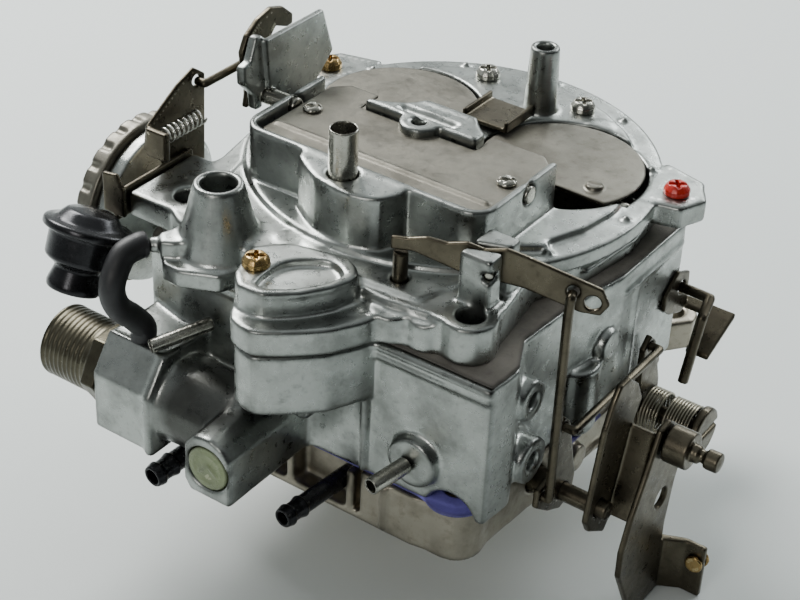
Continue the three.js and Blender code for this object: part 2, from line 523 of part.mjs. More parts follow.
add("secondary_spring_outer", coilDrum(83.6, 94, 8.2), "zinc");
const anchorTab = [[50, 44], [55, 40], [64, 36.5], [68, 38], [67, 52], [58, 56], [50, 50]];
const anchorFlange = [[51.4, 30.4], [70, 38], [70.6, 40.2], [52, 32.6]];
const anchorStrip = [[66.5, 36.6], [70, 38], [70.6, 40.2], [66.5, 38.6]];
add("anchor_bracket", cut(
  join(prism("x", 70.1, 71.6, anchorTab), prism("x", 80.4, 89, anchorFlange), prism("x", 66, 80.5,
    anchorStrip)), round("x", 68, 80, [62, 48], 2.6, 2.6, 10),
), "zinc");
add("anchor_rod", wire([[70.6, 62, 48], [83, 60, 49], [84.6, 52, 46], [84.6, 44, 24]], 2), "zinc");

// ---------------------------------------------------------------- air valve and rear metering rods
add("air_valve_shaft", round("x", -62, 62, [airValve.y, airValve.z], airValve.r, airValve.r, 10), "steel");
for (const [label, side] of [["left", -1], ["right", 1]]) {
  const full = round("z", airValve.top - 1.2, airValve.top, [side * secondary.x, secondary.y],
    airValve.plate, airValve.plate, 28);
  add(`air_valve_${label}`, full.subtract(box([-80, 0, 80], [80, 26.5, 100])), "plate");
}
const rearRod = (side) => join(
  round("z", 70, 93.5, [side * hanger.x, hanger.y], 1.3, 1.3, 8), round("z", 48, 70.1, [side * hanger.x,
    hanger.y], 0.8, 1.3, 8),
);
add("metering_hanger", join(
  box([-9, 43, 93], [9, 60.4, 94.6]), box([-9, 43, 94.5], [-7.6, 60.4, 97]), box([7.6, 43, 94.5], [9,
    60.4, 97]), ...both(rearRod),
), "zinc");

// ---------------------------------------------------------------- small tubes and fasteners
const tube = (from, to, outer, inner) => {
  const past = to.map((value, i) => value + (value - from[i]) * 0.1);
  const inside = from.map((value, i) => value + (to[i] - value) * 0.15);
  return cut(bar(from, to, outer, 10), bar(inside, past, inner, 8));
};
add("inlet_side_tube", tube([-31.5, -62, 55.9], [-41, -81, 53], 2.4, 1.8), "steel");
add("lower_left_tube", tube([-30.9, -58, 12], [-34, -90, 9.8], 3.6, 2.6), "black");
add("front_tube", tube([15.2, -50.3, 11], [12.2, -81.4, 11], 3.2, 2.2), "black");
add("vacuum_tube", tube([43.9, -61.2, 35.6], [41.3, -76, 35.2], 2.8, 2), "steel");
const headScrew = (at, z) => panHead(at, z, 4.4, 3.6);
add("horn_screw_front", headScrew([-7, -70], 92), "brass");
add("horn_screw_side", headScrew([70, 50], 90), "red");
add("horn_screw_rear_left", headScrew([-20, 76.5], level.deck), "steel");
add("horn_screw_rear_right", headScrew([19, 76.5], level.deck), "steel");
add("horn_screw_left", headScrew([-70, 50], 90), "brass");

export default group;
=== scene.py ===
"""Looks of a four-barrel carburetor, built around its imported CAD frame.

Most pieces start as the distance field of their own CAD node, get their fine shapes there (true round bores,
beads, pads, slots and threads), are softened like a casting and meshed. The vacuum can is turned, the hose
is swept and the springs are wound. Shape helpers work in millimetres in the part's frame, and meshes are
stored in metres.
"""
import json
import math

import bmesh
import bpy
import numpy as np
import openvdb
from mathutils import Matrix, Vector


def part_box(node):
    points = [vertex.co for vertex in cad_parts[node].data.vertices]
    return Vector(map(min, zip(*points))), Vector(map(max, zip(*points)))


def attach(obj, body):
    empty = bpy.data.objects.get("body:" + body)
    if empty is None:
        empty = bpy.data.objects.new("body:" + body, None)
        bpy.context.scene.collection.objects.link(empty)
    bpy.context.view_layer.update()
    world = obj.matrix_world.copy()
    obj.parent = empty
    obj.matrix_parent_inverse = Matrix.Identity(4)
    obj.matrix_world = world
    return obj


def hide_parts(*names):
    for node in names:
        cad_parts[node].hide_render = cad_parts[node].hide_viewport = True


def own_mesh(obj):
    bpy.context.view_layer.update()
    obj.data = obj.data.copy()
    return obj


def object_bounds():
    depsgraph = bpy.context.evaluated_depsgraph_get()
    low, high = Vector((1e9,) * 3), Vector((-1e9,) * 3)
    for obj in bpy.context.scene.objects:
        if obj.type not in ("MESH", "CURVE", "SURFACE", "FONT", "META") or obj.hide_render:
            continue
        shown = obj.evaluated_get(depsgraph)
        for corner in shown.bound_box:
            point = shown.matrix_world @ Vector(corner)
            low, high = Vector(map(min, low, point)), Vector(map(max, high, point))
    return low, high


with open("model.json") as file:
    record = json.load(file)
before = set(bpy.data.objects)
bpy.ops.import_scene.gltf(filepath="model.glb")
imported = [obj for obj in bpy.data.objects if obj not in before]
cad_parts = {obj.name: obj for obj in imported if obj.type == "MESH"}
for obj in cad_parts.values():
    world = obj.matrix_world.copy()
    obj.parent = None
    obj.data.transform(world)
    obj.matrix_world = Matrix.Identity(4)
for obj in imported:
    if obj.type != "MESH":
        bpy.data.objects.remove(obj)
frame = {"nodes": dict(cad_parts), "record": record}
cad_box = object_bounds()

MM = 0.001
BODIES = frame["record"]["behaviour"]["bodies"]
BODY_OF = {node: body for body, nodes in BODIES.items() for node in nodes}
AXES = {"x": (0, 1, 2), "y": (1, 0, 2), "z": (2, 0, 1)}


def corners(node):
    """A CAD node's lowest and highest corners at rest, in mm."""
    return [[value / MM for value in corner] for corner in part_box(node)]


def centre(node):
    low, high = corners(node)
    return [(a + b) / 2 for a, b in zip(low, high)]


def bore_round(plate):
    """The x, y and radius of the bore that a throttle plate closes."""
    low, high = corners(plate)
    x, y = centre(plate)[:2]
    return x, y, (high[1] - low[1]) / 2 + PLATE_GAP


# The gap round a throttle plate, and then the places that the frame gives, in mm.
PLATE_GAP = 0.4
BORE_PRIMARY = bore_round("primary_plate_right")
BORE_SECONDARY = bore_round("secondary_plate_right")
THROTTLE_Z = centre("primary_plate_right")[2]
CHOKE = centre("choke_shaft")[1:]
COIL_AXIS = centre("choke_cover")[1:]
INLET = centre("fuel_filter")[1:]
STUD = centre("throttle_stud")[1:]
VENT_TUBE = centre("bowl_vent_tube")[:2]

# The CAD part's own levels and places that no node's box gives, in mm.
RIM = 108.0
RING_TOP = 89.8
RING_AT = (0, 25.4)
DECK = 92.0
HORN_FOOT = 74.4
BOLT_X = 53.98
BOLT_FRONT = -46.2
BOLTS = [(x, y) for x in (-BOLT_X, BOLT_X) for y in (BOLT_FRONT, 96.7)]
BOLT_HOLE = 4.4
CHOKE_OPENING = (-45, 43, -26, 20.3, 5.5)
CONE = (-32.7, -56.2)
REAR_BOSS = (7.5, 67)
PLUG = (-5, 32)
UPPER_PORT = (-36, 58)
LOWER_PORT = (-33, 33)

# Details that no CAD node has, in mm. The places of the pads, and in part that of the boss, were read from
# the photograph through the camera below.
DECK_PADS = [(-13, -47), (-4.6, -43.5)]
EDGE_PADS = [(-57.5, -44.5, 87), (29.8, 70, DECK)]
BAR_BOSS = (-10.5, 30)

# The middle of the fuel stain, in metres.
FUEL_STAIN = (-0.019, -0.080, 0.036)


# ---------------------------------------------------------------- camera, floor and light
# The photograph's camera, fitted to the bolt pattern and the bores: angles in degrees, the rest in mm.
CAMERA_AZIMUTH = 33.7
CAMERA_ELEVATION = 34.0
CAMERA_ROLL = 2.73
CAMERA_DISTANCE = 618.0
CAMERA_LENS = 83.385
CAMERA_SENSOR = 36
CAMERA_OFFSET = (1.7176, 3.9755)
LOOK_AT = Vector((0, 0, 50))


def make_camera():
    azimuth, elevation, roll = (math.radians(a) for a in (CAMERA_AZIMUTH, CAMERA_ELEVATION, CAMERA_ROLL))
    back = Vector((math.sin(azimuth) * math.cos(elevation), -math.cos(azimuth) * math.cos(elevation),
                   math.sin(elevation)))
    right = Vector((math.cos(azimuth), math.sin(azimuth), 0))
    up = back.cross(right)
    across = right * math.cos(roll) + up * math.sin(roll)
    upward = -right * math.sin(roll) + up * math.cos(roll)
    place = LOOK_AT - across * CAMERA_OFFSET[0] - upward * CAMERA_OFFSET[1] + back * CAMERA_DISTANCE
    data = bpy.data.cameras.new("camera")
    data.sensor_width = CAMERA_SENSOR
    data.lens = CAMERA_LENS
    data.clip_start = 0.01
    camera = bpy.data.objects.new("camera", data)
    turn = Matrix((across, upward, back)).transposed().to_4x4()
    camera.matrix_world = Matrix.Translation(place * MM) @ turn
    bpy.context.scene.collection.objects.link(camera)
    bpy.context.scene.camera = camera


def area_light(name, place, power, size, colour):
    """A rectangular light that faces the carburetor."""
    data = bpy.data.lights.new(name, "AREA")
    data.shape = "RECTANGLE"
    data.size, data.size_y = size
    data.energy = power
    data.color = colour
    light = bpy.data.objects.new(name, data)
    light.location = place
    aim = Vector((0, 0, 0.05)) - light.location
    light.rotation_mode = "QUATERNION"
    light.rotation_quaternion = aim.to_track_quat("-Z", "Y")
    bpy.context.scene.collection.objects.link(light)


def make_studio():
    """Three lights, a sky that brightens to one side and a paper floor."""
    area_light("key_light", (-0.75, 0.25, 0.75), 17, (0.6, 0.4), (1.0, 1.0, 0.98))
    area_light("back_light", (0.15, 0.95, 0.6), 8, (1.1, 0.25), (0.96, 1.0, 1.0))
    area_light("front_light", (0.1, -0.95, 0.55), 3, (0.25, 0.5), (1.0, 0.98, 0.94))
    world = bpy.data.worlds.new("studio")
    bpy.context.scene.world = world
    world.use_nodes = True
    tree = world.node_tree
    background = tree.nodes["Background"]
    direction = tree.nodes.new("ShaderNodeTexCoord").outputs["Generated"]
    toward = tree.nodes.new("ShaderNodeVectorMath")
    toward.operation = "DOT_PRODUCT"
    toward.inputs[1].default_value = (-0.62, 0.45, 0.4)
    tree.links.new(direction, toward.inputs[0])
    strength = ramp(tree, toward.outputs["Value"], 0.05, 0.75, -0.35, 0.75)
    tree.links.new(strength, background.inputs["Strength"])
    background.inputs["Color"].default_value = (0.86, 0.92, 0.92, 1)
    span = 6.0
    mesh = bpy.data.meshes.new("floor")
    corners = [(-span, -span, 0), (span, -span, 0), (span, span, 0), (-span, span, 0)]
    mesh.from_pydata([Vector(c) + Vector((0, 0, floor_level())) for c in corners], [], [(0, 1, 2, 3)])
    floor = bpy.data.objects.new("floor", mesh)
    bpy.context.scene.collection.objects.link(floor)
    paper = bpy.data.materials.new("floor_paper")
    paper.use_nodes = True
    shader = paper.node_tree.nodes["Principled BSDF"]
    shader.inputs["Base Color"].default_value = (0.66, 0.70, 0.69, 1)
    shader.inputs["Roughness"].default_value = 0.7
    mesh.materials.append(paper)


def floor_level():
    return cad_box[0].z - 0.0002


# ---------------------------------------------------------------- materials
def add_node(tree, kind, **sockets):
    node = tree.nodes.new(kind)
    for name, value in sockets.items():
        node.inputs[name].default_value = value
    return node


def ramp(tree, source, low, high, start, end):
    node = tree.nodes.new("ShaderNodeMapRange")
    node.inputs["From Min"].default_value = start
    node.inputs["From Max"].default_value = end
    node.inputs["To Min"].default_value = low
    node.inputs["To Max"].default_value = high
    tree.links.new(source, node.inputs["Value"])
    return node.outputs["Result"]


def blend_colour(tree, factor, first, second):
    node = tree.nodes.new("ShaderNodeMix")
    node.data_type = "RGBA"
    for socket, value in ((node.inputs[6], first), (node.inputs[7], second)):
        if isinstance(value, tuple):
            socket.default_value = (*value, 1)
        else:
            tree.links.new(value, socket)
    tree.links.new(factor, node.inputs["Factor"])
    return node.outputs[2]


def surface(name, main, dark, bright, metallic, rough, grain, bump):
    """Mottled colour, painted shade in the hollows, rubbed edges, uneven gloss and a fine grain in the
    surface.
    """
    material = bpy.data.materials.new(name)
    material.use_nodes = True
    tree = material.node_tree
    shader = tree.nodes["Principled BSDF"]
    shader.inputs["Metallic"].default_value = metallic
    place = tree.nodes.new("ShaderNodeTexCoord").outputs["Object"]
    mottle = add_node(tree, "ShaderNodeTexNoise", Scale=70, Detail=5, Roughness=0.6)
    fine = add_node(tree, "ShaderNodeTexNoise", Scale=grain, Detail=3, Roughness=0.7)
    stain = add_node(tree, "ShaderNodeTexNoise", Scale=260, Detail=6, Roughness=0.65)
    for node in (mottle, fine, stain):
        tree.links.new(place, node.inputs["Vector"])
    pointed = tree.nodes.new("ShaderNodeNewGeometry").outputs["Pointiness"]
    colour = blend_colour(tree, ramp(tree, mottle.outputs[0], 0, 0.75, 0.42, 0.66), main, dark)
    colour = blend_colour(tree, ramp(tree, stain.outputs[0], 0, 0.5, 0.55, 0.7), colour, dark)
    # Painted shade: the colour darkens towards 0.3 of the dark tone in hollows, where the pointiness is low.
    painted_hollow_shade = ramp(tree, pointed, 0.85, 0, 0.44, 0.495)
    colour = blend_colour(tree, painted_hollow_shade, colour, tuple(0.3 * c for c in dark))
    colour = blend_colour(tree, ramp(tree, pointed, 0, 0.8, 0.52, 0.58), colour, bright)
    if name == "cast_aluminium":
        colour = stain_barrel(tree, place, colour)
    tree.links.new(colour, shader.inputs["Base Color"])
    gloss = ramp(tree, stain.outputs[0], rough[0], rough[1], 0.35, 0.7)
    tree.links.new(gloss, shader.inputs["Roughness"])
    relief = add_node(tree, "ShaderNodeBump", Strength=bump, Distance=0.0002)
    tree.links.new(fine.outputs[0], relief.inputs["Height"])
    tree.links.new(relief.outputs["Normal"], shader.inputs["Normal"])
    return material


def stain_barrel(tree, place, colour):
    """Fuel has darkened the casting round the inlet barrel."""
    gap = tree.nodes.new("ShaderNodeVectorMath")
    gap.operation = "DISTANCE"
    gap.inputs[1].default_value = FUEL_STAIN
    tree.links.new(place, gap.inputs[0])
    return blend_colour(tree, ramp(tree, gap.outputs["Value"], 0.86, 0, 0.012, 0.022), colour,
                        (0.035, 0.034, 0.03))


FINISH = {
    "casting": surface("cast_aluminium", (0.41, 0.43, 0.412), (0.2, 0.21, 0.198), (0.76, 0.77, 0.74), 1.0,
                       (0.24, 0.42), 1500, 0.28),
    "base": surface("cast_base", (0.36, 0.33, 0.27), (0.19, 0.17, 0.135), (0.66, 0.62, 0.52), 1.0,
                    (0.3, 0.5), 1300, 0.35),
    "steel": surface("bright_steel", (0.5, 0.49, 0.44), (0.28, 0.27, 0.23), (0.8, 0.79, 0.74), 1.0,
                     (0.18, 0.34), 2200, 0.12),
    "zinc": surface("plated_steel", (0.125, 0.11, 0.08), (0.06, 0.052, 0.038), (0.42, 0.39, 0.31), 1.0,
                    (0.24, 0.44), 1800, 0.2),
    "plate": surface("worn_plate", (0.2, 0.19, 0.16), (0.105, 0.098, 0.08), (0.5, 0.48, 0.42), 0.95,
                     (0.36, 0.56), 2000, 0.25),
    "brass": surface("brass", (0.55, 0.38, 0.16), (0.3, 0.2, 0.085), (0.8, 0.63, 0.34), 1.0,
                     (0.2, 0.36), 2000, 0.1),
    "gasket": surface("fibre_gasket", (0.2, 0.185, 0.16), (0.1, 0.09, 0.08), (0.3, 0.28, 0.25), 0.0,
                      (0.8, 0.95), 3500, 0.6),
    "seal": surface("violet_gasket", (0.215, 0.19, 0.62), (0.13, 0.11, 0.42), (0.3, 0.28, 0.72), 0.0,
                    (0.5, 0.7), 2500, 0.25),
    "rubber": surface("black_rubber", (0.012, 0.012, 0.014), (0.006, 0.006, 0.007), (0.03, 0.03, 0.032), 0.0,
                      (0.42, 0.6), 3000, 0.3),
    "black": surface("black_plating", (0.035, 0.035, 0.038), (0.018, 0.018, 0.02), (0.14, 0.14, 0.14), 0.85,
                     (0.2, 0.36), 2000, 0.12),
    "red": surface("red_enamel", (0.6, 0.03, 0.018), (0.4, 0.015, 0.01), (0.75, 0.12, 0.08), 0.1,
                   (0.2, 0.35), 2000, 0.1),
    "olive": surface("olive_plating", (0.1, 0.092, 0.066), (0.05, 0.045, 0.032), (0.3, 0.28, 0.21), 1.0,
                     (0.26, 0.44), 1900, 0.2),
    "float": surface("float_foam", (0.15, 0.1, 0.055), (0.08, 0.05, 0.03), (0.24, 0.17, 0.1), 0.0,
                     (0.7, 0.9), 2500, 0.4),
    "sealant": surface("green_sealant", (0.2, 0.24, 0.12), (0.12, 0.14, 0.07), (0.4, 0.42, 0.27), 0.0,
                       (0.22, 0.4), 900, 0.35),
}


# ---------------------------------------------------------------- distance fields
def smooth_min(a, b, blend):
    if blend <= 0:
        return np.minimum(a, b)
    return np.minimum(a, b) - np.maximum(blend - np.abs(a - b), 0) ** 2 / (4 * blend)


def solid_round(axis, a, b, at, r0, r1=None):
    """A cylinder or cone along an axis from a to b: at holds the two other coordinates in X, Y, Z order."""
    r1 = r0 if r1 is None else r1
    along, first, second = AXES[axis]
    reach = max(r0, r1)
    low, high = np.zeros(3), np.zeros(3)
    low[[along, first, second]] = a, at[0] - reach, at[1] - reach
    high[[along, first, second]] = b, at[0] + reach, at[1] + reach
    lean = math.cos(math.atan2(r0 - r1, b - a))

    def distance(grid):
        travel = np.clip((grid[along] - a) / (b - a), 0, 1)
        radial = np.hypot(grid[first] - at[0], grid[second] - at[1]) - (r0 + (r1 - r0) * travel)
        return np.maximum(radial * lean, np.abs(grid[along] - (a + b) / 2) - (b - a) / 2)
    return low, high, distance


def solid_box(low, high):
    low, high = np.array(low, float), np.array(high, float)
    middle, half = (low + high) / 2, (high - low) / 2

    def distance(grid):
        gaps = [np.abs(grid[i] - middle[i]) - half[i] for i in range(3)]
        return np.maximum(np.maximum(gaps[0], gaps[1]), gaps[2])
    return low, high, distance


def rounded_frame(x0, x1, y0, y1, corner, z0, z1):
    """An upright rounded rectangle."""
    middle = ((x0 + x1) / 2, (y0 + y1) / 2)
    half = ((x1 - x0) / 2 - corner, (y1 - y0) / 2 - corner)

    def distance(grid):
        dx = np.abs(grid[0] - middle[0]) - half[0]
        dy = np.abs(grid[1] - middle[1]) - half[1]
        flat = np.hypot(np.maximum(dx, 0), np.maximum(dy, 0)) + np.minimum(np.maximum(dx, dy), 0) - corner
        return np.maximum(flat, np.abs(grid[2] - (z0 + z1) / 2) - (z1 - z0) / 2)
    return np.array([x0, y0, z0], float), np.array([x1, y1, z1], float), distance


def catmull_rom(a, b, c, d, t):
    """The point at t between b and c, on the smooth curve through four points."""
    return 0.5 * (2 * b + (c - a) * t + (2 * a - 5 * b + 4 * c - d) * t ** 2
                  + (3 * b - a - 3 * c + d) * t ** 3)


def smooth_outline(points, steps):
    """A closed Catmull-Rom curve through the outline's points."""
    points = [np.array(p, float) for p in points]
    count = len(points)
    outline = []
    for i in range(count):
        a, b, c, d = (points[(i + k - 1) % count] for k in range(4))
        for step in range(steps):
            outline.append(catmull_rom(a, b, c, d, step / steps))
    return np.array(outline)


def solid_outline(z0, z1, points, steps=5):
    """An upright solid with a smooth outline through the points, or a straight-sided one with one step."""
    outline = smooth_outline(points, steps)
    low = np.array([*outline.min(axis=0), z0])
    high = np.array([*outline.max(axis=0), z1])

    def distance(grid):
        x, y = grid[0] + 0 * grid[1], grid[1] + 0 * grid[0]
        nearest = np.full(x.shape, 1e9)
        inside = np.zeros(x.shape, bool)
        for start, end in zip(outline, np.roll(outline, -1, axis=0)):
            line = end - start
            travel = np.clip(((x - start[0]) * line[0] + (y - start[1]) * line[1]) / (line @ line), 0, 1)
            gap = np.hypot(x - start[0] - travel * line[0], y - start[1] - travel * line[1])
            nearest = np.minimum(nearest, gap)
            crosses = (start[1] > y) != (end[1] > y)
            rise = end[1] - start[1] or 1e-9
            inside ^= crosses & (x < start[0] + (y - start[1]) / rise * line[0])
        flat = np.where(inside, -nearest, nearest)
        return np.maximum(flat, np.abs(grid[2] - (z0 + z1) / 2) - (z1 - z0) / 2)
    return low, high, distance


def solid_wire(points, radius):
    """A round bar or bead through its points."""
    points = [np.array(p, float) for p in points]

    def distance(grid):
        nearest = None
        for start, end in zip(points, points[1:]):
            line = end - start
            size = float(line @ line) or 1.0
            travel = sum((grid[i] - start[i]) * line[i] for i in range(3)) / size
            travel = np.clip(travel, 0, 1)
            gap = np.sqrt(sum((grid[i] - start[i] - travel * line[i]) ** 2 for i in range(3))) - radius
            nearest = gap if nearest is None else np.minimum(nearest, gap)
        return nearest
    return np.min(points, axis=0) - radius, np.max(points, axis=0) + radius, distance


def solid_torus(axis, level, at, ring, tube):
    along, first, second = AXES[axis]
    low, high = np.zeros(3), np.zeros(3)
    low[[along, first, second]] = level - tube, at[0] - ring - tube, at[1] - ring - tube
    high[[along, first, second]] = level + tube, at[0] + ring + tube, at[1] + ring + tube

    def distance(grid):
        radial = np.hypot(grid[first] - at[0], grid[second] - at[1]) - ring
        return np.hypot(radial, grid[along] - level) - tube
    return low, high, distance


def solid_bar(start, end, r0, r1=None):
    """A cylinder or cone with flat ends between any two points."""
    r1 = r0 if r1 is None else r1
    start, end = np.array(start, float), np.array(end, float)
    size = float(np.linalg.norm(end - start))
    line = (end - start) / size
    reach = max(r0, r1)

    def distance(grid):
        travel = sum((grid[i] - start[i]) * line[i] for i in range(3))
        across = sum((grid[i] - start[i]) ** 2 for i in range(3)) - travel ** 2
        radius = r0 + (r1 - r0) * np.clip(travel / size, 0, 1)
        return np.maximum(np.sqrt(np.maximum(across, 0)) - radius, np.abs(travel - size / 2) - size / 2)
    return np.minimum(start, end) - reach, np.maximum(start, end) + reach, distance


BAND = 5.0


class Field:
    """The distance field of one or more CAD nodes, in mm, with solids joined to it and cut from it.

    It is kept for BAND voxels on each side of the surface.
    """

    def __init__(self, nodes, voxel):
        self.nodes = [nodes] if isinstance(nodes, str) else nodes
        self.voxel = voxel
        points, triangles, count = [], [], 0
        for node in self.nodes:
            mesh = frame["nodes"][node].data
            mesh.calc_loop_triangles()
            place = np.empty(len(mesh.vertices) * 3, np.float32)
            mesh.vertices.foreach_get("co", place)
            corner = np.empty(len(mesh.loop_triangles) * 3, np.int32)
            mesh.loop_triangles.foreach_get("vertices", corner)
            points.append(place.reshape(-1, 3) / MM)
            triangles.append(corner.reshape(-1, 3) + count)
            count += len(mesh.vertices)
        grid = openvdb.FloatGrid.createLevelSetFromPolygons(
            np.vstack(points), triangles=np.vstack(triangles).astype(np.uint32),
            transform=openvdb.createLinearTransform(voxelSize=voxel), halfWidth=BAND)
        low, high = grid.evalActiveVoxelBoundingBox()
        margin = 4
        self.corner = tuple(int(v) - margin for v in low)
        shape = tuple(int(h - l) + 1 + 2 * margin for l, h in zip(low, high))
        self.value = np.empty(shape, np.float32)
        grid.copyToArray(self.value, ijk=self.corner)

    @classmethod
    def empty(cls, low, high, voxel):
        """A field with nothing in it yet, for a small piece with no CAD node of its own."""
        field = cls.__new__(cls)
        field.nodes = []
        field.voxel = voxel
        field.corner = tuple(int(v / voxel) - 6 for v in low)
        shape = [int(h / voxel) + 6 - c for h, c in zip(high, field.corner)]
        field.value = np.full(shape, BAND * voxel, np.float32)
        return field

    def window(self, low, high, spare):
        """The part of the grid round a box, as slices of the field and as places in mm."""
        cuts, grid = [], []
        for i in range(3):
            first = max(int((low[i] - spare) / self.voxel) - self.corner[i] - 1, 0)
            last = min(int((high[i] + spare) / self.voxel) - self.corner[i] + 2, self.value.shape[i])
            cuts.append(slice(first, max(last, first)))
            shape = [1, 1, 1]
            shape[i] = -1
            grid.append((np.arange(first, max(last, first)) + self.corner[i]).reshape(shape) * self.voxel)
        return tuple(cuts), grid

    def join(self, solid, blend=0.0):
        low, high, distance = solid
        cuts, grid = self.window(low, high, BAND * self.voxel + blend)
        self.value[cuts] = smooth_min(self.value[cuts], distance(grid), blend)

    def cut(self, solid, blend=0.0):
        low, high, distance = solid
        cuts, grid = self.window(low, high, BAND * self.voxel + blend)
        self.value[cuts] = -smooth_min(-self.value[cuts], distance(grid), blend)

    def soften(self, sigma):
        """A blur of the field rounds every edge and fillets every corner, and leaves flat faces flat."""
        width = sigma / self.voxel
        if width <= 0.2:
            return
        reach = max(1, int(round(2.5 * width)))
        weights = np.exp(-0.5 * (np.arange(-reach, reach + 1) / width) ** 2)
        weights /= weights.sum()
        limit = BAND * self.voxel
        self.value = np.clip(self.value, -limit, limit)
        for axis in range(3):
            padding = [(0, 0)] * 3
            padding[axis] = (reach, reach)
            padded = np.pad(self.value, padding, mode="edge")
            size = self.value.shape[axis]
            total = np.zeros_like(self.value)
            for step, weight in enumerate(weights):
                part = [slice(None)] * 3
                part[axis] = slice(step, step + size)
                total += np.float32(weight) * padded[tuple(part)]
            self.value = total

    def cut_bolts(self, low, high):
        for at in BOLTS:
            self.cut(solid_round("z", low, high, at, BOLT_HOLE))

    def cut_bores(self, low, high, spare=0.0):
        for side in (-1, 1):
            for x, y, r in (BORE_PRIMARY, BORE_SECONDARY):
                self.cut(solid_round("z", low, high, (side * x, y), r + spare))

    def make(self, name, slot, sigma, material=None, body=None):
        """Meshes the field as a piece that stands for its CAD nodes and rides on their body."""
        self.soften(sigma)
        grid = openvdb.FloatGrid(BAND * self.voxel)
        grid.transform = openvdb.createLinearTransform(voxelSize=self.voxel)
        grid.copyFromArray(np.ascontiguousarray(self.value), ijk=self.corner)
        points, quads = grid.convertToQuads()
        piece = mesh_piece(name, points, quads[:, ::-1], material or slot)
        return place_piece(piece, slot, *self.nodes, body=body)


def mesh_piece(name, points, faces, finish):
    mesh = bpy.data.meshes.new(name)
    mesh.from_pydata([], [], [])
    mesh.vertices.add(len(points))
    mesh.vertices.foreach_set("co", (np.asarray(points, np.float32) * MM).ravel())
    sides = faces.shape[1]
    mesh.loops.add(len(faces) * sides)
    mesh.loops.foreach_set("vertex_index", np.ascontiguousarray(faces, np.int32).ravel())
    mesh.polygons.add(len(faces))
    mesh.polygons.foreach_set("loop_start", np.arange(0, len(faces) * sides, sides, dtype=np.int32))
    mesh.update(calc_edges=True)
    mesh.validate()
    mesh.polygons.foreach_set("use_smooth", np.ones(len(mesh.polygons), bool))
    mesh.materials.append(FINISH[finish])
    piece = bpy.data.objects.new(name, mesh)
    bpy.context.scene.collection.objects.link(piece)
    return piece


# ---------------------------------------------------------------- castings
NOSE_FOOT = [(-11, -60), (-9, -77), (-3.5, -86), (5, -88), (13, -83), (24, -72), (29, -57), (10, -52)]
NOSE_TOP = [(-14, -63), (-9, -77), (-4, -81.5), (4, -81), (12, -74), (18, -65), (20, -56), (12, -50),
            (-6, -54)]
NOSE_POCKET = [(-1, -63), (9, -55), (16, -58), (15, -64), (10, -72), (3, -77.5), (-1.6, -76)]
BOWL_NOSE = [(-9, -56), (-8, -76), (-3, -85), (5, -87), (12, -82), (22, -72), (28, -56), (10, -50)]
BOWL_TOP = [(-46, -59.6), (-8, -59.6), (8, -57.2), (46, -56.7), (69.6, -56.7), (70.6, -44), (63.8, -30),
            (65.7, 0), (69.6, 20), (69.6, 61.6), (46, 77.6), (-46, 77.6), (-67.6, 61.6), (-67.6, -40),
            (-61.6, -55.6)]
VENT_BOSS = [(-20, -27), (-19, -33), (-8, -40), (6, -42), (15, -38), (17, -27), (0, -24)]


